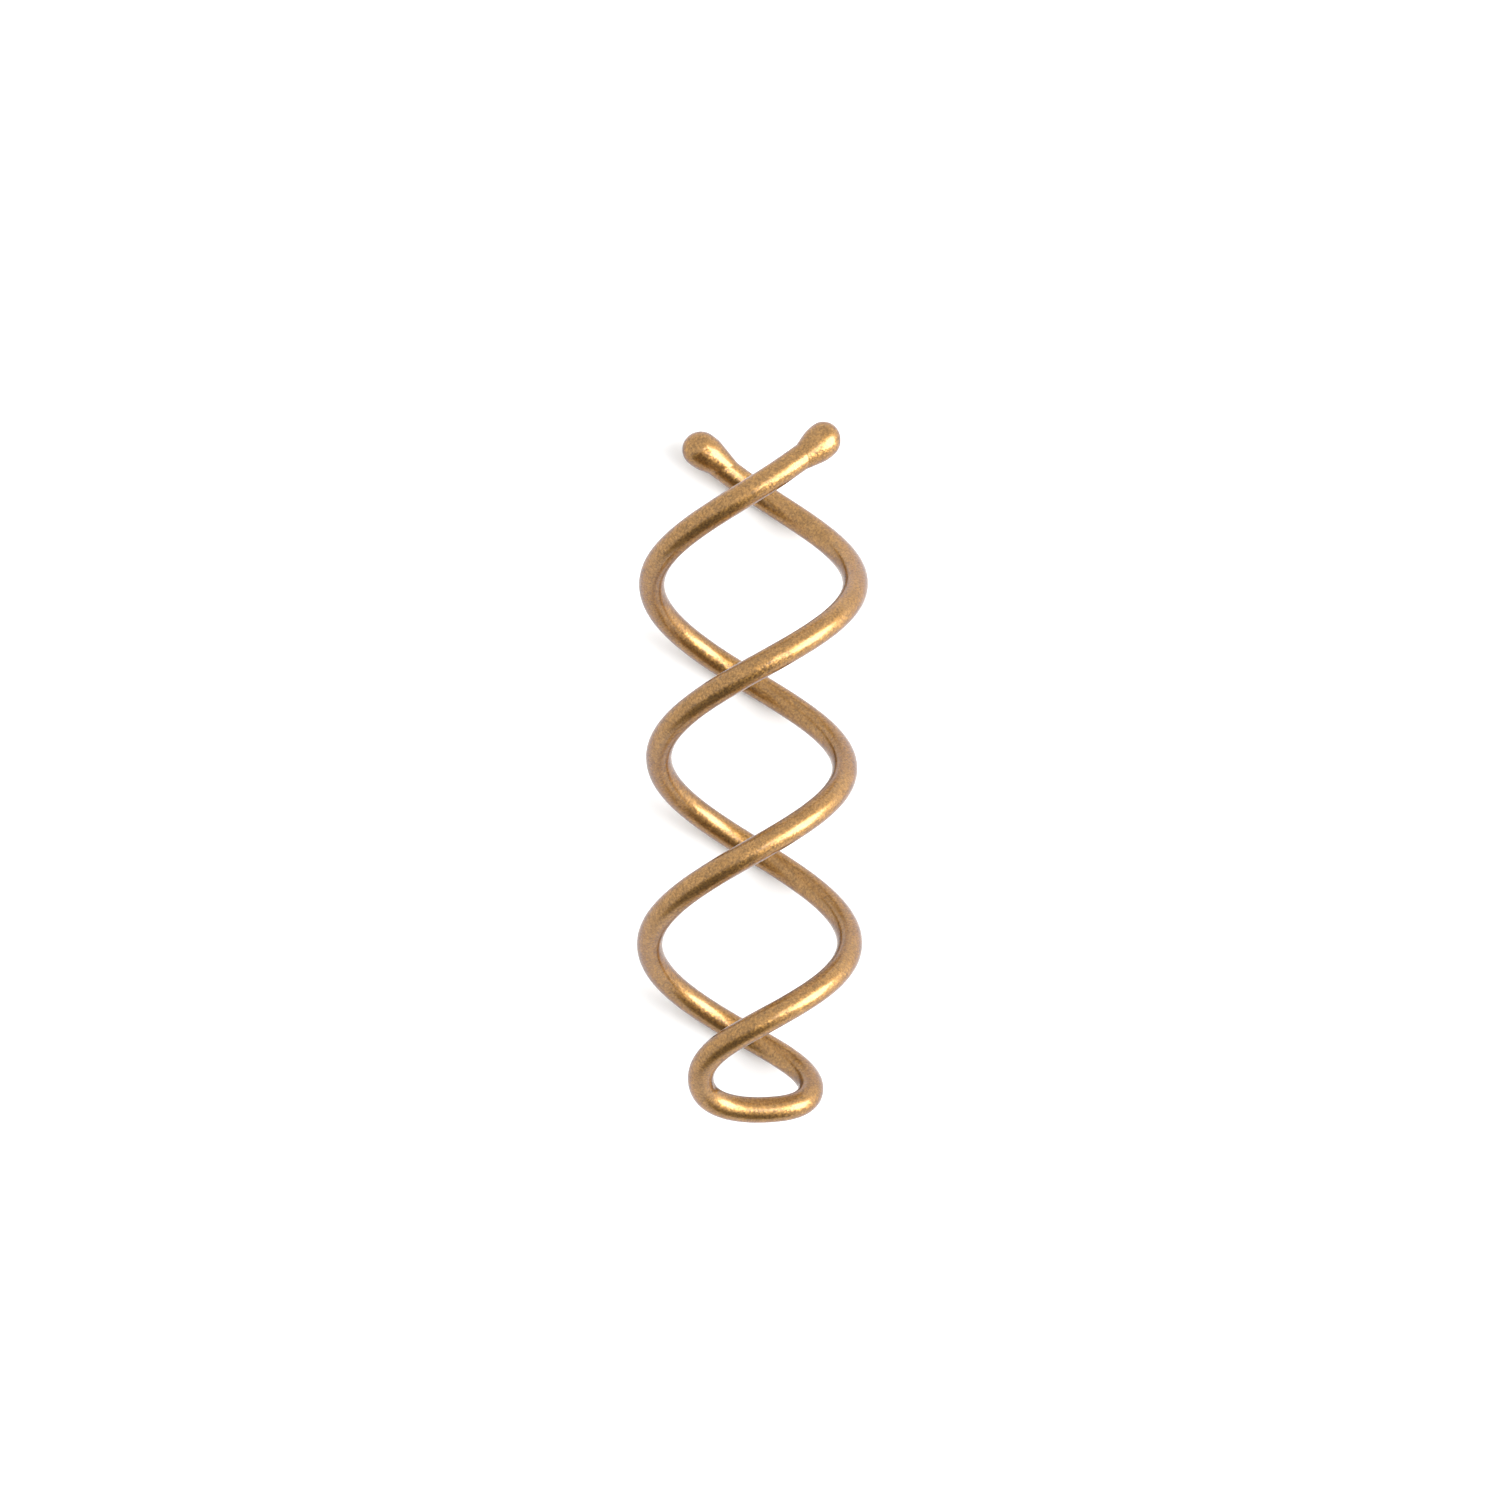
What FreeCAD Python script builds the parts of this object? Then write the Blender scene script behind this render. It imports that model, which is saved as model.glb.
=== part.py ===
import FreeCAD, Part
import math
import os

# A spiral bun pin: one wire bent double like a long hairpin and twisted about its long axis into an open,
# right-handed double spiral, with a dipped drop on each end. It lies on its back. X is across, Y runs from
# the bend to the tips, and Z is up. The origin is under the middle of its outline, on the surface it lies on.
# Lengths are in millimetres and angles in degrees.

Vector = FreeCAD.Vector

# Wire
WIRE_DIAMETER = 2.6       # 2.5 mm steel wire under its coat of paint
WIRE_RADIUS = WIRE_DIAMETER / 2
STRAIGHT_END = 4.4        # the last stretch of each leg, straight up to the middle of its ball

# Legs: a row for each quarter turn of the twist, from the bend up to the tips. A height is measured along Y
# from the lowest point of the bend, and a reach from the pin's axis. At 180 and 540 the right leg passes
# below the axis, next to the surface that the pin lies on, and the left leg above it. At 360 and 720 it is
# the other way round.
LEG_COLUMNS = ("twist", "left_height", "left_reach", "right_height", "right_reach")
LEGS = (
    (180, 8.80, 9.05, 7.10, 9.65),
    (270, 16.80, 9.35, 16.55, 9.80),
    (360, 25.80, 9.65, 25.75, 9.80),
    (450, 35.20, 9.75, 34.30, 9.70),
    (540, 44.15, 9.90, 43.15, 9.65),
    (630, 52.75, 9.90, 52.50, 9.60),
    (720, 62.15, 9.62, 61.45, 9.70),
)
# Where each leg stops winding and runs straight on
LAST_LEFT = dict(twist=734, height=63.75, reach=9.40)
LAST_RIGHT = dict(twist=746, height=64.25, reach=9.65)

# Bend: rows round the closed end, from the left leg to the right one. The side is how far the wire stands
# from the axis, minus on the left leg's side.
BEND_COLUMNS = ("twist", "height", "side")
BEND = (
    (132, 4.00, -7.2),
    (112, 1.20, -4.6),
    (104, 0.20, -1.6),
    (100, 0.05, 1.6),
    (107, 0.60, 5.2),
    (127, 2.30, 7.8),
)
# Each leg winds round a line of its own, which stands off the pin's axis by this share of the leg's reach
LEG_LEAN = 0.044

# The wire's line is cut into arcs no longer than about this
LONGEST_SPAN = 6.0
DIRECTION_STEP = 0.001    # the line's direction is taken over this distance to each side
SAME_DIRECTION = 1e-9     # two directions that differ by less than this are one
OUTLINE_SAMPLES = 4000    # points on the line that its outline is measured from

# Tips: drops with a ball end and a long taper that feathers out on the wire. The lift is how far the drop's
# own axis stands off the wire's, towards the top of the pin, at the middle of the ball and at the neck.
TIP_COLUMNS = ("node", "ball_radius", "lift_at_ball", "lift_at_neck")
TIPS = (
    ("left_ball_tip", 1.86, 0.17, 0.21),
    ("right_ball_tip", 1.83, 0.12, -0.02),
)
NECK_DISTANCE = 2.0       # from the middle of the ball to where the neck's lift is measured
SHOULDER_START = 0.3      # the ball keeps its full width this far towards the wire
SHOULDER_RADIUS = 4.2
TAPER_ANGLE = 15.0
RIM_THICKNESS = 0.07      # what is left of the drop where it feathers out
SOCKET_GAP = 0.04         # between the wire and the socket in the drop


def named_rows(columns, rows):
    """The rows of a table as dictionaries with the columns' names."""
    return [dict(zip(columns, row)) for row in rows]


def winding_rows():
    """Twist, height and side of the whole wire, from the left tip round the bend to the right tip."""
    legs = named_rows(LEG_COLUMNS, LEGS)
    bend = named_rows(BEND_COLUMNS, BEND)
    rows = [(LAST_LEFT["twist"], LAST_LEFT["height"], -LAST_LEFT["reach"])]
    rows += [(leg["twist"], leg["left_height"], -leg["left_reach"]) for leg in reversed(legs)]
    rows += [(row["twist"], row["height"], row["side"]) for row in bend]
    rows += [(leg["twist"], leg["right_height"], leg["right_reach"]) for leg in legs]
    rows.append((LAST_RIGHT["twist"], LAST_RIGHT["height"], LAST_RIGHT["reach"]))
    return [(math.radians(twist), height, side) for twist, height, side in rows]


def distances_along(rows):
    """How far along the wire each row lies, as the length of a spiral from row to row."""
    along = [0.0]
    for (twist_a, height_a, side_a), (twist_b, height_b, side_b) in zip(rows, rows[1:]):
        round_axis = (side_a + side_b) / 2 * (twist_b - twist_a)
        along.append(along[-1] + math.hypot(round_axis, height_b - height_a, side_b - side_a))
    return along


def smooth_slopes(along, values):
    """Slopes at the rows of the cubic curve through them that has no curvature at its two ends."""
    last = len(along) - 1
    steps = [b - a for a, b in zip(along, along[1:])]
    rises = [(b - a) / step for a, b, step in zip(values, values[1:], steps)]
    diagonal = [2.0]
    right = [3 * rises[0]]
    upper = [1.0]
    for i in range(1, last):
        before, after = 1 / steps[i - 1], 1 / steps[i]
        factor = before / diagonal[i - 1]
        diagonal.append(2 * (before + after) - factor * upper[i - 1])
        right.append(3 * (rises[i - 1] * before + rises[i] * after) - factor * right[i - 1])
        upper.append(after)
    factor = 1 / diagonal[last - 1]
    diagonal.append(2.0 - factor * upper[last - 1])
    right.append(3 * rises[-1] - factor * right[last - 1])
    slopes = [0.0] * (last + 1)
    slopes[last] = right[last] / diagonal[last]
    for i in range(last - 1, -1, -1):
        slopes[i] = (right[i] - upper[i] * slopes[i + 1]) / diagonal[i]
    return slopes


class WireLine:
    """The middle line of the wire between its two straight ends."""

    def __init__(self):
        rows = winding_rows()
        self.along = distances_along(rows)
        self.columns = list(zip(*rows))
        self.slopes = [smooth_slopes(self.along, column) for column in self.columns]

    def place(self, distance):
        """The point at this distance along the wire, about the pin's axis."""
        i = 0
        while i < len(self.along) - 2 and distance > self.along[i + 1]:
            i += 1
        step = self.along[i + 1] - self.along[i]
        t = (distance - self.along[i]) / step
        twist, height, side = [
            column[i] * (1 + 2 * t) * (1 - t) ** 2 + column[i + 1] * t * t * (3 - 2 * t)
            + step * t * (1 - t) * (slope[i] * (1 - t) - slope[i + 1] * t)
            for column, slope in zip(self.columns, self.slopes)
        ]
        return Vector(side * (math.sin(twist) - LEG_LEAN), height, side * math.cos(twist))

    def direction(self, distance):
        """The wire's direction at this distance, from the left tip towards the right one."""
        return (self.place(distance + DIRECTION_STEP) - self.place(distance - DIRECTION_STEP)).normalize()

    def spans(self):
        """Points and directions along the wire, closer round the bend."""
        stops = [self.along[0]]
        for start, end in zip(self.along, self.along[1:]):
            pieces = max(2, math.ceil((end - start) / LONGEST_SPAN))
            stops += [start + (end - start) * k / pieces for k in range(1, pieces + 1)]
        return [(self.place(stop), self.direction(stop)) for stop in stops]


def two_arcs(start, start_dir, end, end_dir):
    """The point and the direction where two arcs meet that lead smoothly from the start to the end."""
    chord = end - start
    both = start_dir + end_dir
    unlike = 2 * (1 - start_dir.dot(end_dir))
    along = chord.dot(both)
    if unlike < SAME_DIRECTION:
        reach = chord.dot(chord) / (2 * along)
    else:
        reach = (math.sqrt(along * along + unlike * chord.dot(chord)) - along) / unlike
    corner_a = start + start_dir * reach
    corner_b = end - end_dir * reach
    return (corner_a + corner_b) * 0.5, (corner_b - corner_a).normalize()


def arc_frame(start, start_dir, end):
    """Centre, axis and angle in degrees of the arc that leaves the start in its direction for the end."""
    chord = end - start
    normal = start_dir.cross(chord)
    axis = Vector(normal).normalize()
    radius = chord.dot(chord) / (2 * normal.Length)
    centre = start + axis.cross(start_dir) * radius
    angle = 2 * math.degrees(math.atan2(normal.Length, start_dir.dot(chord)))
    return centre, axis, angle


def wire_solid(line):
    """One tube of straight and round stretches along the wire's line."""
    spans = line.spans()
    arcs = []
    for (start, start_dir), (end, end_dir) in zip(spans, spans[1:]):
        middle, middle_dir = two_arcs(start, start_dir, end, end_dir)
        arcs.append((start, start_dir, middle))
        arcs.append((middle, middle_dir, end))
    first, first_dir = spans[0]
    last_dir = spans[-1][1]
    ring = Part.Wire(Part.makeCircle(WIRE_RADIUS, first - first_dir * STRAIGHT_END, first_dir))
    walls = [Part.Face(ring)]
    ring, wall = carried(ring, ring.extrude(first_dir * STRAIGHT_END), first_dir * STRAIGHT_END)
    walls += wall
    length = 2 * STRAIGHT_END
    for start, start_dir, end in arcs:
        centre, axis, angle = arc_frame(start, start_dir, end)
        walls += ring.revolve(centre, axis, angle).Faces
        ring = ring.copy()
        ring.rotate(centre, axis, angle)
        length += math.radians(angle) * (start - centre).Length
    ring, wall = carried(ring, ring.extrude(last_dir * STRAIGHT_END), last_dir * STRAIGHT_END)
    walls += wall
    walls.append(Part.Face(ring))
    shell = Part.makeShell(walls)
    shell.sewShape()
    solid = Part.Solid(shell)
    if solid.Volume < 0:
        solid.reverse()
    return solid, length


def carried(ring, tube, travel):
    """The ring moved by the travel, and the walls of the tube that it leaves behind."""
    moved = ring.copy()
    moved.translate(travel)
    return moved, tube.Faces


def drop_profile(ball_radius, length):
    """Half of the drop's section in the XZ plane. Its axis is Z, from the ball's far end towards the wire."""
    turn = math.radians(TAPER_ANGLE)
    shoulder_end = Vector(
        ball_radius - SHOULDER_RADIUS * (1 - math.cos(turn)), 0,
        SHOULDER_START + SHOULDER_RADIUS * math.sin(turn))
    shoulder_middle = Vector(
        ball_radius - SHOULDER_RADIUS * (1 - math.cos(turn / 2)), 0,
        SHOULDER_START + SHOULDER_RADIUS * math.sin(turn / 2))
    taper_end = Vector(taper_radius(ball_radius, length), 0, length)
    pole = Vector(0, 0, -ball_radius)
    widest = Vector(ball_radius, 0, 0)
    on_ball = Vector(ball_radius * math.cos(math.pi / 4), 0, -ball_radius * math.sin(math.pi / 4))
    shoulder_begin = Vector(ball_radius, 0, SHOULDER_START)
    on_axis = Vector(0, 0, length)
    return Part.Wire([
        Part.Arc(pole, on_ball, widest).toShape(),
        Part.makeLine(widest, shoulder_begin),
        Part.Arc(shoulder_begin, shoulder_middle, shoulder_end).toShape(),
        Part.makeLine(shoulder_end, taper_end),
        Part.makeLine(taper_end, on_axis),
        Part.makeLine(on_axis, pole),
    ])


def taper_radius(ball_radius, distance):
    """The drop's radius on its taper, at this distance from the middle of the ball towards the wire."""
    turn = math.radians(TAPER_ANGLE)
    at_start = ball_radius - SHOULDER_RADIUS * (1 - math.cos(turn))
    start = SHOULDER_START + SHOULDER_RADIUS * math.sin(turn)
    return at_start - math.tan(turn) * (distance - start)


def rim_distance(tip, side):
    """How far from the ball's middle the drop feathers out, on its upper side (1) or its lower side (-1)."""
    rim_radius = WIRE_RADIUS + SOCKET_GAP + RIM_THICKNESS
    lift_slope = (tip["lift_at_neck"] - tip["lift_at_ball"]) / NECK_DISTANCE
    at_ball = taper_radius(tip["ball_radius"], 0) + side * tip["lift_at_ball"]
    return (at_ball - rim_radius) / (math.tan(math.radians(TAPER_ANGLE)) - side * lift_slope)


def drop_solid(tip, centre, outward):
    """A drop round the wire's end: the centre is the middle of the ball, where the wire ends."""
    inward = outward * -1
    upward = Vector(-outward.y, outward.x, 0).normalize()
    if upward.y < 0:
        upward = upward * -1
    lift_slope = (tip["lift_at_neck"] - tip["lift_at_ball"]) / NECK_DISTANCE
    upper_rim = rim_distance(tip, 1)
    lower_rim = rim_distance(tip, -1)
    body_length = max(upper_rim, lower_rim) + WIRE_RADIUS
    half_section = Part.Face(drop_profile(tip["ball_radius"], body_length))
    body = half_section.revolve(Vector(0, 0, 0), Vector(0, 0, 1), 360)
    drop_axis = (inward + upward * lift_slope).normalize()
    body.Placement = FreeCAD.Placement(
        centre + upward * tip["lift_at_ball"], FreeCAD.Rotation(Vector(0, 0, 1), drop_axis))

    rim_middle = centre + inward * ((upper_rim + lower_rim) / 2)
    rim_radius = WIRE_RADIUS + SOCKET_GAP + RIM_THICKNESS
    rim_slant = upward * (2 * rim_radius) + inward * (upper_rim - lower_rim)
    rim_normal = rim_slant.cross(inward.cross(upward)).normalize()
    if rim_normal.dot(inward) < 0:
        rim_normal = rim_normal * -1
    past_side, past_end = 3 * tip["ball_radius"], 2 * body_length
    beyond_rim = Part.makeCylinder(past_side, past_end, rim_middle, rim_normal)
    socket_end = centre - inward * SOCKET_GAP
    socket = Part.makeCylinder(WIRE_RADIUS + SOCKET_GAP, past_end, socket_end, inward)
    return body.cut(beyond_rim).cut(socket).Solids[0]


def placed_on_surface(line, balls):
    """The shift that puts the outline's middle over the origin and the wire's lowest point on the surface."""
    total = line.along[-1]
    points = [line.place(total * k / OUTLINE_SAMPLES) for k in range(OUTLINE_SAMPLES + 1)]
    low = [min(point[i] for point in points) - WIRE_RADIUS for i in range(3)]
    high = [max(point[i] for point in points) + WIRE_RADIUS for i in range(3)]
    for centre, radius in balls:
        low = [min(low[i], centre[i] - radius) for i in range(3)]
        high = [max(high[i], centre[i] + radius) for i in range(3)]
    return Vector(-(low[0] + high[0]) / 2, -(low[1] + high[1]) / 2, -low[2])


line = WireLine()
total_length = line.along[-1]
ends = (
    (line.place(0), line.direction(0) * -1),
    (line.place(total_length), line.direction(total_length)),
)
wire, wire_length = wire_solid(line)
solids = {"twisted_wire": wire}
balls = []
for tip, (straight_start, outward) in zip(named_rows(TIP_COLUMNS, TIPS), ends):
    ball_centre = straight_start + outward * STRAIGHT_END
    solids[tip["node"]] = drop_solid(tip, ball_centre, outward)
    balls.append((ball_centre, tip["ball_radius"]))

shift = placed_on_surface(line, balls)
for node, solid in solids.items():
    solid.translate(shift)
    solid.exportStep(f"parts/{node}.step")
    box = solid.optimalBoundingBox()
    print(f"{node}: valid {solid.isValid()}, volume {solid.Volume:.1f} mm3, faces {len(solid.Faces)}, "
          f"x {box.XMin:.2f} to {box.XMax:.2f}, y {box.YMin:.2f} to {box.YMax:.2f}, "
          f"z {box.ZMin:.2f} to {box.ZMax:.2f}")
section = math.pi * WIRE_RADIUS ** 2
print(f"wire length {wire_length:.1f} mm, section times length {section * wire_length:.1f} mm3")
print("shift from the pin's axis", [round(value, 3) for value in shift])
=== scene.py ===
# %% [markdown]
# A spiral bun pin, built in Blender around its own engineering model. The pin is a single steel wire, bent
# double like a long hairpin and twisted into an open double spiral, with a dipped drop on each end and one
# coat of satin bronze lacquer over everything. This lesson builds the wire's skin, the two drops, the
# lacquer, and then the small studio that the pin lies in.
#
# The frame holds the solids at their real size. We load it first, and never move or resize what it holds.

# %% Load the frame
import math

import bpy
import numpy as np
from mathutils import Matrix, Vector, noise


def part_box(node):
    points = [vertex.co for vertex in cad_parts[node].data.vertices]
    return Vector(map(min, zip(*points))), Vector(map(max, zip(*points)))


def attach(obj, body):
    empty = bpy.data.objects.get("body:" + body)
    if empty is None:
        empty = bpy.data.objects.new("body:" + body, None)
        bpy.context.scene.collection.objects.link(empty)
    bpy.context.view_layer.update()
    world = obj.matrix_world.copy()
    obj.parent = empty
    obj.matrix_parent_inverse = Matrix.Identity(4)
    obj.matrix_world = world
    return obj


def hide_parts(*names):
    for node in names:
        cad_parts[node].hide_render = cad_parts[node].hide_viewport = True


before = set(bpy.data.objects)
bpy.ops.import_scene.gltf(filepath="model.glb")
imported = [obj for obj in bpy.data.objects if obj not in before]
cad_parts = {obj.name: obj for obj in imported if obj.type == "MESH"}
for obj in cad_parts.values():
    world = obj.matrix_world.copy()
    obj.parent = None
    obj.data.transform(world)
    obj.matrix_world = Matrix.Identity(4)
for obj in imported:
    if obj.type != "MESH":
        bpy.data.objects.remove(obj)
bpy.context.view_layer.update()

print("solids in the frame:", sorted(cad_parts))

# %% [markdown]
# The pin is drawn in millimetres, because it is small and its sizes are easiest to read that way. They are
# turned to metres only when a mesh is made. The wire is 2.5 mm steel under 0.05 mm of lacquer.

# %% Sizes of the wire
MM = 0.001
WIRE_RADIUS = 1.3
STRAIGHT_END = 4.4      # the last stretch of each leg runs straight, up to the middle of its ball

# %% [markdown]
# The shape of the wire. A maker bends the wire double and twists it round its long axis, so the natural way
# to write it down is the maker's: how far the hairpin is twisted at a given height, and how far the wire
# stands from the axis there. One row for each quarter turn is enough for the legs. The closed bend needs a
# few rows more, because there the wire crosses from one leg to the other. A side is minus on the leg that
# ends in the left drop. The twists of the legs and the sides of the bend were chosen. The other numbers come
# from a least squares fit to the wire's line in the photograph, rounded to about 0.05 mm and whole degrees.

# %% Winding table
LEG_COLUMNS = ("twist", "left_height", "left_reach", "right_height", "right_reach")
LEGS = (
    (180, 8.80, 9.05, 7.10, 9.65),
    (270, 16.80, 9.35, 16.55, 9.80),
    (360, 25.80, 9.65, 25.75, 9.80),
    (450, 35.20, 9.75, 34.30, 9.70),
    (540, 44.15, 9.90, 43.15, 9.65),
    (630, 52.75, 9.90, 52.50, 9.60),
    (720, 62.15, 9.62, 61.45, 9.70),
)
LAST_LEFT = dict(twist=734, height=63.75, reach=9.40)
LAST_RIGHT = dict(twist=746, height=64.25, reach=9.65)

BEND_COLUMNS = ("twist", "height", "side")
BEND = (
    (132, 4.00, -7.2),
    (112, 1.20, -4.6),
    (104, 0.20, -1.6),
    (100, 0.05, 1.6),
    (107, 0.60, 5.2),
    (127, 2.30, 7.8),
)
LEG_LEAN = 0.044        # each leg winds round a line that stands off the axis by this share of its reach


def named_rows(columns, rows):
    return [dict(zip(columns, row)) for row in rows]


def winding_rows():
    """Twist in radians, height and side, from the left drop round the bend to the right drop."""
    legs = named_rows(LEG_COLUMNS, LEGS)
    bend = named_rows(BEND_COLUMNS, BEND)
    rows = [(LAST_LEFT["twist"], LAST_LEFT["height"], -LAST_LEFT["reach"])]
    rows += [(leg["twist"], leg["left_height"], -leg["left_reach"]) for leg in reversed(legs)]
    rows += [(row["twist"], row["height"], row["side"]) for row in bend]
    rows += [(leg["twist"], leg["right_height"], leg["right_reach"]) for leg in legs]
    rows += [(LAST_RIGHT["twist"], LAST_RIGHT["height"], LAST_RIGHT["reach"])]
    table = np.array(rows, float)
    table[:, 0] = np.radians(table[:, 0])
    return table


WINDING = winding_rows()
print("rows in the winding table:", len(WINDING))

# %% [markdown]
# Between the rows the wire runs on smoothly, because a springy wire never has a corner. A cubic curve through
# the rows does this. Its slopes come from one small set of equations, which says that the curvature doesn't
# jump at any row and is nothing at the two ends.

# %% Smooth curve through the table
def distances_along(rows):
    """How far along the wire each row lies, as the length of a spiral from row to row."""
    step = np.diff(rows, axis=0)
    middle_side = (rows[1:, 2] + rows[:-1, 2]) / 2
    runs = np.sqrt((middle_side * step[:, 0]) ** 2 + step[:, 1] ** 2 + step[:, 2] ** 2)
    return np.concatenate([[0.0], np.cumsum(runs)])


def smooth_slopes(along, values):
    """Slopes at the rows, one equation for each row."""
    count = len(along)
    steps = np.diff(along)
    rises = np.diff(values, axis=0) / steps[:, None]
    left = np.zeros((count, count))
    right = np.zeros((count, values.shape[1]))
    left[0, :2] = 2, 1
    right[0] = 3 * rises[0]
    left[-1, -2:] = 1, 2
    right[-1] = 3 * rises[-1]
    for i in range(1, count - 1):
        before, after = 1 / steps[i - 1], 1 / steps[i]
        left[i, i - 1:i + 2] = before, 2 * (before + after), after
        right[i] = 3 * (rises[i - 1] * before + rises[i] * after)
    return np.linalg.solve(left, right)


ALONG = distances_along(WINDING)
SLOPES = smooth_slopes(ALONG, WINDING)


def wire_place(distance):
    """Points of the wire's middle line, at distances counted from where the left leg starts to wind."""
    distance = np.asarray(distance, float)
    row = np.clip(np.searchsorted(ALONG, distance) - 1, 0, len(ALONG) - 2)
    step = (ALONG[row + 1] - ALONG[row])[:, None]
    t = (distance - ALONG[row])[:, None] / step
    table = (
        WINDING[row] * (1 + 2 * t) * (1 - t) ** 2
        + WINDING[row + 1] * t * t * (3 - 2 * t)
        + step * t * (1 - t) * (SLOPES[row] * (1 - t) - SLOPES[row + 1] * t)
    )
    twist, height, side = table.T
    return np.column_stack([side * (np.sin(twist) - LEG_LEAN), height, side * np.cos(twist)])


print("length of the wound stretch in mm:", round(float(ALONG[-1]), 1))

# %% [markdown]
# The two ends leave the curve in a straight line, each into its drop. One call gives the whole middle line at
# an almost even step. It is then moved to where the frame's wire lies: the lowest corner of a tube is the
# lowest corner of its middle line less one radius, so one box is enough to find the move. The width and the
# height at the other corner are the test of it. The length isn't, because the wire's flat ends stop short of
# a whole radius.

# %% Middle line of the whole wire
RING_STEP = 0.25
DIRECTION_STEP = 0.001      # the direction of an end is taken over this distance


def unit(vectors):
    vectors = np.asarray(vectors, float)
    return vectors / np.linalg.norm(vectors, axis=-1, keepdims=True)


def wire_line():
    """Points of the middle line from drop to drop, and the directions in which its two ends point."""
    wound = wire_place(np.linspace(0, ALONG[-1], round(ALONG[-1] / RING_STEP) + 1))
    leave_left = unit(wire_place([0])[0] - wire_place([DIRECTION_STEP])[0])
    leave_right = unit(wire_place([ALONG[-1]])[0] - wire_place([ALONG[-1] - DIRECTION_STEP])[0])
    stretch = np.linspace(0, STRAIGHT_END, round(STRAIGHT_END / RING_STEP) + 1)[1:, None]
    line = np.vstack([
        (wound[0] + leave_left * stretch)[::-1],
        wound,
        wound[-1] + leave_right * stretch,
    ])
    return line, leave_left, leave_right


LINE, LEFT_OUTWARD, RIGHT_OUTWARD = wire_line()
wire_low, wire_high = [np.array(corner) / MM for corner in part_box("twisted_wire")]
LINE += wire_low - (LINE.min(axis=0) - WIRE_RADIUS)
width_misfit, _, height_misfit = LINE.max(axis=0) + WIRE_RADIUS - wire_high
print(f"misfit to the frame's wire in mm: width {width_misfit:.3f}, height {height_misfit:.3f}")

# %% [markdown]
# A lacquered wire isn't a perfect cylinder. Bending leaves faint swells, and a sprayed metallic coat dries
# with a fine orange peel over them. Both are in the mesh itself, as small moves along the surface's own
# direction, so they catch the light from any side. The noise is a fixed function of place, so the pin comes
# out the same each time.

# %% Unevenness of the coat
SWELL_SIZE, SWELL_DEPTH = 1.9, 0.005
PEEL_SIZE, PEEL_DEPTH = 0.60, 0.004


def coat_uneven(points, outward):
    """The points moved in or out by the swells and the orange peel, in millimetres."""
    moves = np.empty(len(points))
    for k, point in enumerate(points):
        place = Vector(point)
        swell = noise.noise(place / SWELL_SIZE)
        peel = noise.noise(place / PEEL_SIZE)
        moves[k] = SWELL_DEPTH * swell + PEEL_DEPTH * peel
    return points + outward * moves[:, None]


# %% [markdown]
# Every skin here is a row of rings, closed with a fan at each end, because a tube and a drop are both round
# about a line. The shading is smooth, apart from folds as sharp as a cut end, which keep their corner.

# %% Rings, fans and pieces
SHARP_FOLD = math.radians(40)


def ring_faces(rings, sides):
    """Four-sided faces between neighbouring rings, each ring being a run of points of its own."""
    faces = []
    for ring in range(rings - 1):
        for side in range(sides):
            a = ring * sides + side
            b = ring * sides + (side + 1) % sides
            faces.append((a, b, b + sides, a + sides))
    return faces


def fan_faces(ring, sides, tip, reverse):
    """Three-sided faces that close a ring on one point."""
    start = ring * sides
    fan = [(start + side, start + (side + 1) % sides, tip) for side in range(sides)]
    return [face[::-1] for face in fan] if reverse else fan


def make_piece(name, points, faces):
    """A smooth-shaded mesh object from points in millimetres."""
    mesh = bpy.data.meshes.new(name)
    mesh.from_pydata((points * MM).tolist(), [], faces)
    mesh.validate()
    mesh.shade_smooth()
    mesh.set_sharp_from_angle(angle=SHARP_FOLD)
    piece = bpy.data.objects.new(name, mesh)
    bpy.context.scene.collection.objects.link(piece)
    print(f"{name}: {len(mesh.vertices)} points, {len(mesh.polygons)} faces")
    return piece


# %% [markdown]
# The skin of the wire follows the middle line. A ring's own two directions are carried from one ring to the
# next without turning about the wire, so the skin doesn't wind up.

# %% Skin of the wire
WIRE_SIDES = 40


def carried_frames(line):
    """Two directions across the line at each point, carried along it without twist."""
    ahead = unit(np.gradient(line, axis=0))
    across = np.empty_like(line)
    across[0] = unit(np.cross(ahead[0], [0.0, 0.0, 1.0]))
    for k in range(1, len(line)):
        kept = across[k - 1] - ahead[k] * across[k - 1].dot(ahead[k])
        across[k] = unit(kept)
    return across, np.cross(ahead, across)


def wire_skin():
    across, upright = carried_frames(LINE)
    turn = np.linspace(0, 2 * math.pi, WIRE_SIDES, endpoint=False)
    outward = (
        across[:, None, :] * np.cos(turn)[None, :, None]
        + upright[:, None, :] * np.sin(turn)[None, :, None]
    ).reshape(-1, 3)
    points = np.repeat(LINE, WIRE_SIDES, axis=0) + outward * WIRE_RADIUS
    points = coat_uneven(points, outward)
    rings = len(LINE)
    first_tip, last_tip = len(points), len(points) + 1
    points = np.vstack([points, LINE[0], LINE[-1]])
    faces = ring_faces(rings, WIRE_SIDES)
    faces += fan_faces(0, WIRE_SIDES, first_tip, reverse=True)
    faces += fan_faces(rings - 1, WIRE_SIDES, last_tip, reverse=False)
    return make_piece("lacquered_wire", points, faces)


wire_piece = wire_skin()

# %% [markdown]
# The drops. Each end of the wire was dipped in resin and left to harden, so the drop is a ball that tapers
# off along the wire. It hangs a little off the wire's middle, so its edge lies at a slant: further down the
# wire on one side than on the other. The lacquer covers the joint, so the drop's edge is drawn a hair under
# the wire's skin, and no line shows where the two meet. The balls' radii are those of circles fitted to their
# outline in the photograph, and the lifts were measured on it too.

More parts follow.
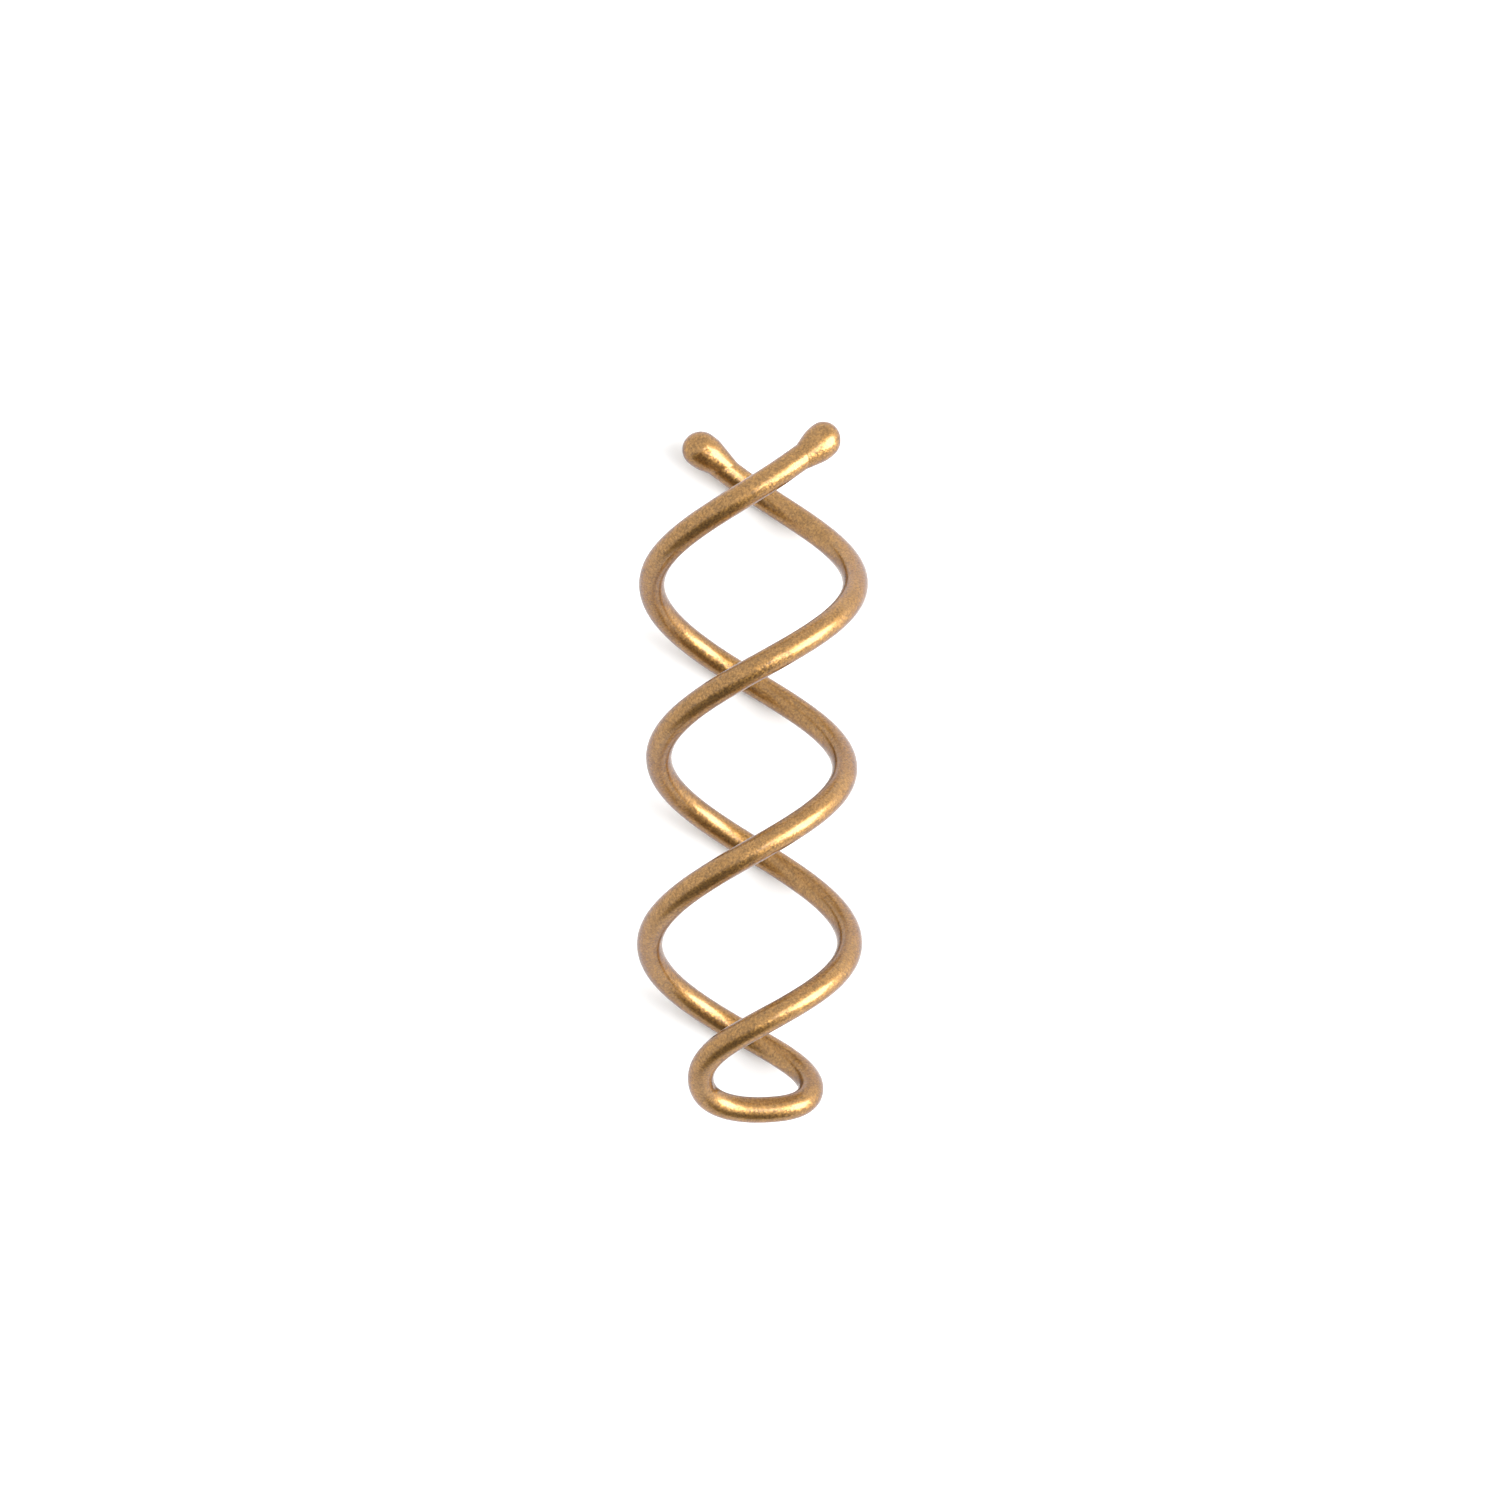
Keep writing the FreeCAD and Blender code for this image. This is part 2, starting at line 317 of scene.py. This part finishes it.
# %% Sizes of the drops
TIP_COLUMNS = ("piece", "node", "ball_radius", "lift_at_ball", "lift_at_neck")
TIPS = named_rows(TIP_COLUMNS, (
    ("left_drop", "left_ball_tip", 1.86, 0.17, 0.21),
    ("right_drop", "right_ball_tip", 1.83, 0.12, -0.02),
))
NECK_DISTANCE = 2.0
SHOULDER_START = 0.3
SHOULDER_RADIUS = 4.2
TAPER = math.radians(15)
EDGE_DEPTH = 0.012      # how far the edge's outside lies under the wire's skin
LIP_DEPTH = 0.032       # and its inside
SOCKET_GAP = 0.01


def drop_radius(tip, distance):
    """The drop's radius at distances from the middle of its ball towards the wire."""
    ball = tip["ball_radius"]
    shoulder_length = SHOULDER_RADIUS * math.sin(TAPER)
    shoulder_end = SHOULDER_START + shoulder_length
    on_shoulder = np.clip(distance - SHOULDER_START, 0, shoulder_length)
    shoulder = ball - SHOULDER_RADIUS + np.sqrt(SHOULDER_RADIUS ** 2 - on_shoulder ** 2)
    taper = np.clip(distance - shoulder_end, 0, None) * math.tan(TAPER)
    on_ball = ball - np.sqrt(np.clip(ball ** 2 - np.clip(distance, -ball, 0) ** 2, 0, None))
    return shoulder - taper - on_ball


# %% [markdown]
# Where a drop's edge lies follows from the taper itself, and is found spoke by spoke: the distance is halved
# again and again, until the outside is as deep under the wire's skin as it should be.

# %% Edge of a drop
DROP_SIDES = 64
NEAREST_EDGE, FARTHEST_EDGE = 1.0, 5.0      # the edge is looked for between these distances
HALVINGS = 40


def edge_distances(stands_off):
    """How far down the wire the edge lies, spoke by spoke, given how far the outside stands off the wire."""
    near, far = np.full(DROP_SIDES, NEAREST_EDGE), np.full(DROP_SIDES, FARTHEST_EDGE)
    for _ in range(HALVINGS):
        middle = (near + far) / 2
        outside_wire = stands_off(middle) > -EDGE_DEPTH
        near, far = np.where(outside_wire, middle, near), np.where(outside_wire, far, middle)
    return near


# %% [markdown]
# A drop is made of rings too. From the ball's far end the rings widen, pass the ball's middle and narrow to
# the slanted edge. There the skin turns under and runs back up the socket, so the mesh is closed and the wire
# stands in a real hole. Only the outside is uneven, since the lacquer never reached the socket.

# %% Skin of a drop
BALL_RINGS = 20
TAPER_RINGS = 26
SOCKET_RINGS = 6


def drop_rings(tip, centre, inward):
    """The drop's rings from its far end to the bottom of its socket, its edge, and its upward direction."""
    upward = unit([inward[1], -inward[0], 0.0])
    if upward[1] < 0:
        upward = -upward
    aside = np.cross(inward, upward)
    turn = np.linspace(0, 2 * math.pi, DROP_SIDES, endpoint=False)
    spokes = np.outer(np.cos(turn), upward) + np.outer(np.sin(turn), aside)
    lift_slope = (tip["lift_at_neck"] - tip["lift_at_ball"]) / NECK_DISTANCE

    def ring(distance):
        """One ring of the drop's outside; the distance may differ from spoke to spoke."""
        distance = np.broadcast_to(distance, DROP_SIDES)
        lift = tip["lift_at_ball"] + lift_slope * distance
        middle = centre + np.outer(distance, inward) + np.outer(lift, upward)
        return middle + spokes * drop_radius(tip, distance)[:, None]

    def stands_off(distance):
        """How far the drop's outside stands off the wire's surface, spoke by spoke."""
        points = ring(distance) - centre
        across = points - np.outer(points @ inward, inward)
        return np.linalg.norm(across, axis=1) - WIRE_RADIUS

    edge = edge_distances(stands_off)
    rings = []
    for k in range(1, BALL_RINGS):
        angle = math.pi / 2 * k / BALL_RINGS
        rings.append(ring(-tip["ball_radius"] * math.cos(angle)))
    for k in range(TAPER_RINGS + 1):
        rings.append(ring(edge * k / TAPER_RINGS))
    for k in range(SOCKET_RINGS):
        deep = edge * (1 - k / (SOCKET_RINGS - 1))
        socket_radius = WIRE_RADIUS + SOCKET_GAP if k else WIRE_RADIUS - LIP_DEPTH
        rings.append(centre + spokes * socket_radius + np.outer(deep, inward))
    return rings, edge, upward


def drop_skin(tip, centre, outward):
    inward = -outward
    rings, edge, upward = drop_rings(tip, centre, inward)
    points = np.vstack(rings)
    outside = (BALL_RINGS - 1 + TAPER_RINGS) * DROP_SIDES
    down_the_wire = np.clip((points[:outside] - centre) @ inward, 0, None)
    middles = centre + np.outer(down_the_wire, inward)
    points[:outside] = coat_uneven(points[:outside], unit(points[:outside] - middles))
    far_end = centre + outward * tip["ball_radius"] + upward * tip["lift_at_ball"]
    points = np.vstack([points, far_end, centre + outward * SOCKET_GAP])
    faces = ring_faces(len(rings), DROP_SIDES)
    faces += fan_faces(0, DROP_SIDES, len(points) - 2, reverse=True)
    faces += fan_faces(len(rings) - 1, DROP_SIDES, len(points) - 1, reverse=False)
    print(f"{tip['piece']}: edge lies {edge.min():.2f} to {edge.max():.2f} mm from the middle of the ball")
    return make_piece(tip["piece"], points, [face[::-1] for face in faces])


drops = [
    drop_skin(TIPS[0], LINE[0], LEFT_OUTWARD),
    drop_skin(TIPS[1], LINE[-1], RIGHT_OUTWARD),
]

# %% [markdown]
# Which solid each skin stands for. The frame keeps its own solids for collision, and shows these in their
# place. The pin has no joint, so all three ride on the one body.

# %% Fasten the pieces to the frame
for piece, node in zip([wire_piece] + drops, ["twisted_wire", TIPS[0]["node"], TIPS[1]["node"]]):
    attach(piece, "root")
    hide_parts(node)
    print(piece.name, "stands for", node)

# %% [markdown]
# The lacquer. It is a bronze-powder lacquer: a binder full of tiny metal flakes, sprayed on, baked, and
# sealed with a satin clear coat. To the eye it is a metal with a soft, wide highlight, and the clear coat
# lays a whiter, narrower one on top. The flakes lie almost flat, but each leans its own way and is a little
# lighter or darker, so the surface glitters finely and the edge of the highlight is ragged. The flakes are
# about 0.05 mm wide. They are drawn at 0.15 mm, as coarse as they need to be to show.
#
# Two noises join them. The finer one is the grit of the dried coat, 0.26 mm wide, and it is both a shade and
# a bump. The wider one is the mottle of an uneven spray, which mixes two bronzes that lie close together. At
# a flat angle the binder hides the flakes, so the metal has a dark brown edge tint, and each strand darkens
# towards its rim.

# %% Helpers for materials
def linear(hex_colour):
    """An sRGB hex colour as linear red, green, blue and alpha."""
    parts = [int(hex_colour[k:k + 2], 16) / 255 for k in (1, 3, 5)]
    return [part / 12.92 if part <= 0.04045 else ((part + 0.055) / 1.055) ** 2.4 for part in parts] + [1.0]


def add_node(tree, kind, sockets=None, **settings):
    """A new node with its settings. A socket takes a value, or another node's output to be linked from."""
    made = tree.nodes.new(kind)
    for name, value in settings.items():
        setattr(made, name, value)
    for name, value in (sockets or {}).items():
        if isinstance(value, bpy.types.NodeSocket):
            tree.links.new(value, made.inputs[name])
        else:
            made.inputs[name].default_value = value
    return made


# %% Sprayed bronze-powder lacquer
FLAKE_SIZE = 0.15
FLAKE_LEAN = 0.16
FLAKE_CONTRAST = 0.20       # how much lighter or darker a flake may be than the bronze around it
FLAKE_MIDDLE = (0.5, 0.5, 0.5)      # a flake of this value doesn't lean
GRIT_SIZE = 0.26
GRIT_DETAIL, GRIT_ROUGHNESS = 3.0, 0.65
GRIT_CONTRAST = 0.26
GRIT_HEIGHT = 0.008
GRIT_STRENGTH = 0.5
MOTTLE_SIZE = 1.4
MOTTLE_DETAIL, MOTTLE_ROUGHNESS = 2.0, 0.5
NOISE_LOW, NOISE_HIGH = 0.35, 0.65      # nearly all of a noise lies between these
CELL_LOW, CELL_HIGH = 0.2, 0.8          # and most of the flakes' own values between these
DARK_BRONZE = "#8F6832"
LIGHT_BRONZE = "#966F3A"
RIM_BROWN = "#66543F"
SATIN_METAL = 0.38          # a metallic paint is about 0.3 to 0.5
SATIN_CLEAR_COAT = 0.20
CLEAR_COAT_IOR = 1.5        # as for most clear lacquers


def sprayed_bronze_lacquer():
    material = bpy.data.materials.new("sprayed_bronze_powder_lacquer")
    material.use_nodes = True
    tree = material.node_tree
    tree.nodes.clear()
    place = add_node(tree, "ShaderNodeTexCoord").outputs["Object"]
    flakes = add_node(tree, "ShaderNodeTexVoronoi", {"Vector": place, "Scale": 1 / (FLAKE_SIZE * MM)})
    grit = add_node(tree, "ShaderNodeTexNoise", {
        "Vector": place, "Scale": 1 / (GRIT_SIZE * MM), "Detail": GRIT_DETAIL, "Roughness": GRIT_ROUGHNESS})
    mottle = add_node(tree, "ShaderNodeTexNoise", {
        "Vector": place, "Scale": 1 / (MOTTLE_SIZE * MM),
        "Detail": MOTTLE_DETAIL, "Roughness": MOTTLE_ROUGHNESS})

    base = add_node(tree, "ShaderNodeValToRGB", {"Fac": mottle.outputs["Fac"]})
    base.color_ramp.elements[0].position = NOISE_LOW
    base.color_ramp.elements[0].color = linear(DARK_BRONZE)
    base.color_ramp.elements[1].position = NOISE_HIGH
    base.color_ramp.elements[1].color = linear(LIGHT_BRONZE)
    grain = add_node(tree, "ShaderNodeMapRange", {
        "Value": grit.outputs["Fac"], "From Min": NOISE_LOW, "From Max": NOISE_HIGH,
        "To Min": 1 - GRIT_CONTRAST, "To Max": 1 + GRIT_CONTRAST})
    glint = add_node(tree, "ShaderNodeMapRange", {
        "Value": flakes.outputs["Color"], "From Min": CELL_LOW, "From Max": CELL_HIGH,
        "To Min": 1 - FLAKE_CONTRAST, "To Max": 1 + FLAKE_CONTRAST})
    grainy = add_node(tree, "ShaderNodeVectorMath", {
        0: base.outputs["Color"], "Scale": grain.outputs["Result"]}, operation="SCALE")
    shade = add_node(tree, "ShaderNodeVectorMath", {
        0: grainy.outputs["Vector"], "Scale": glint.outputs["Result"]}, operation="SCALE")

    lean = add_node(tree, "ShaderNodeVectorMath", {
        0: flakes.outputs["Color"], 1: FLAKE_MIDDLE}, operation="SUBTRACT")
    leaned = add_node(tree, "ShaderNodeVectorMath", {
        0: lean.outputs["Vector"], "Scale": FLAKE_LEAN}, operation="SCALE")
    bump = add_node(tree, "ShaderNodeBump", {
        "Height": grit.outputs["Fac"], "Strength": GRIT_STRENGTH, "Distance": GRIT_HEIGHT * MM})
    tilted = add_node(tree, "ShaderNodeVectorMath", {
        0: bump.outputs["Normal"], 1: leaned.outputs["Vector"]}, operation="ADD")
    facing = add_node(tree, "ShaderNodeVectorMath", {0: tilted.outputs["Vector"]}, operation="NORMALIZE")

    surface = add_node(tree, "ShaderNodeBsdfPrincipled", {
        "Base Color": shade.outputs["Vector"], "Metallic": 1.0, "Roughness": SATIN_METAL,
        "Specular Tint": linear(RIM_BROWN),
        "Coat Weight": 1.0, "Coat Roughness": SATIN_CLEAR_COAT, "Coat IOR": CLEAR_COAT_IOR,
        "Normal": facing.outputs["Vector"], "Coat Normal": bump.outputs["Normal"]})
    add_node(tree, "ShaderNodeOutputMaterial", {"Surface": surface.outputs["BSDF"]})
    return material


lacquer = sprayed_bronze_lacquer()
for piece in [wire_piece] + drops:
    piece.data.materials.append(lacquer)
print("lacquer on", len(drops) + 1, "pieces")

# %% [markdown]
# The studio, in metres. The pin lies on matt white paper inside a light tent, whose white walls are the
# world itself, so the metal has something pale to reflect from nearly every side. A large softbox on the
# right gives the bright streak on each strand, and a weaker one high overhead gives the long streak along
# the bend. The tent is open towards the bend's side, where the room beyond is dark, and that opening shows as
# the brown stripe along the lower side of the strands. Paper and tent are lit past white, so that only the
# palest shadow shows. The paper is pressed without a coating, so it mirrors nothing of the pin.

# %% Floor
FLOOR_HALF = 1.5
PAPER_WHITE = "#F0F0F0"
PAPER_ROUGHNESS = 0.9
PAPER_GLOSS = 0.2
floor_corners = [(x * FLOOR_HALF, y * FLOOR_HALF, 0) for x, y in ((-1, -1), (1, -1), (1, 1), (-1, 1))]
floor_mesh = bpy.data.meshes.new("floor")
floor_mesh.from_pydata(floor_corners, [], [(0, 1, 2, 3)])
floor = bpy.data.objects.new("floor", floor_mesh)
bpy.context.scene.collection.objects.link(floor)

paper = bpy.data.materials.new("matt_white_paper")
paper.use_nodes = True
paper.node_tree.nodes.clear()
paper_surface = add_node(paper.node_tree, "ShaderNodeBsdfPrincipled", {
    "Base Color": linear(PAPER_WHITE), "Roughness": PAPER_ROUGHNESS, "Specular IOR Level": PAPER_GLOSS})
add_node(paper.node_tree, "ShaderNodeOutputMaterial", {"Surface": paper_surface.outputs["BSDF"]})
floor_mesh.materials.append(paper)

# %% Soft lights
LIGHT_COLUMNS = ("name", "azimuth", "elevation", "distance", "width", "height", "power")
LIGHTS = named_rows(LIGHT_COLUMNS, (
    ("right_softbox", 0, 30, 0.8, 0.58, 0.58, 10),
    ("overhead_softbox", -5, 63, 0.9, 0.40, 0.36, 2),
))


def softbox(light):
    """An area light that looks at the pin. Azimuth is counted from +X towards +Y."""
    lamp = bpy.data.lights.new(light["name"], "AREA")
    lamp.shape = "RECTANGLE"
    lamp.size = light["width"]
    lamp.size_y = light["height"]
    lamp.energy = light["power"]
    holder = bpy.data.objects.new(light["name"], lamp)
    azimuth, elevation = math.radians(light["azimuth"]), math.radians(light["elevation"])
    towards = Vector((
        math.cos(elevation) * math.cos(azimuth),
        math.cos(elevation) * math.sin(azimuth),
        math.sin(elevation),
    ))
    holder.location = towards * light["distance"]
    holder.rotation_euler = towards.to_track_quat("Z", "Y").to_euler()
    holder.visible_camera = False
    bpy.context.scene.collection.objects.link(holder)


for light in LIGHTS:
    softbox(light)
print("lights:", [light["name"] for light in LIGHTS])

# %% Light tent
TENT_BRIGHTNESS = 1.4
OPENING_TOWARDS = (-0.10, -0.88, 0.42)
OPENING_INNER, OPENING_OUTER = math.radians(30), math.radians(50)
OPENING_BRIGHTNESS = 0.22

tent = bpy.data.worlds.new("light_tent")
tent.use_nodes = True
tent.node_tree.nodes.clear()
around = add_node(tent.node_tree, "ShaderNodeTexCoord").outputs["Generated"]
opening = add_node(tent.node_tree, "ShaderNodeVectorMath", {
    0: around, 1: Vector(OPENING_TOWARDS).normalized()}, operation="DOT_PRODUCT")
brightness = add_node(tent.node_tree, "ShaderNodeMapRange", {
    "Value": opening.outputs["Value"],
    "From Min": math.cos(OPENING_OUTER), "From Max": math.cos(OPENING_INNER),
    "To Min": TENT_BRIGHTNESS, "To Max": OPENING_BRIGHTNESS}, interpolation_type="SMOOTHSTEP")
walls = add_node(tent.node_tree, "ShaderNodeBackground", {
    "Color": linear("#FFFFFF"), "Strength": brightness.outputs["Result"]})
add_node(tent.node_tree, "ShaderNodeOutputWorld", {"Surface": walls.outputs["Background"]})
bpy.context.scene.world = tent
bpy.context.scene.view_settings.view_transform = "Standard"

# %% [markdown]
# The camera looks straight down from 0.8 m, far enough that the strands in front look hardly wider than those
# behind. The photograph is 1500 pixels wide and shows the pin at 10 pixels to the millimetre, so the field is
# 150 mm, and the lens follows from that. Its middle lies a little above and to the left of the pin's middle.

# %% Camera
CAMERA_DISTANCE = 800.0
PHOTO_PIXELS = 1500
PIXELS_PER_MM = 10.0
VIEW_MIDDLE = (-0.25, 2.44)
AXIS_HEIGHT = 10.95
SENSOR_WIDTH = 36.0
NEAREST_SEEN = 0.01     # in metres

lens_view = bpy.data.cameras.new("photo_camera")
lens_view.sensor_width = SENSOR_WIDTH
lens_view.lens = SENSOR_WIDTH * CAMERA_DISTANCE / (PHOTO_PIXELS / PIXELS_PER_MM)
lens_view.clip_start = NEAREST_SEEN
camera = bpy.data.objects.new("photo_camera", lens_view)
camera.location = (VIEW_MIDDLE[0] * MM, VIEW_MIDDLE[1] * MM, (AXIS_HEIGHT + CAMERA_DISTANCE) * MM)
bpy.context.scene.collection.objects.link(camera)
bpy.context.scene.camera = camera
print("lens in mm:", round(lens_view.lens, 1))
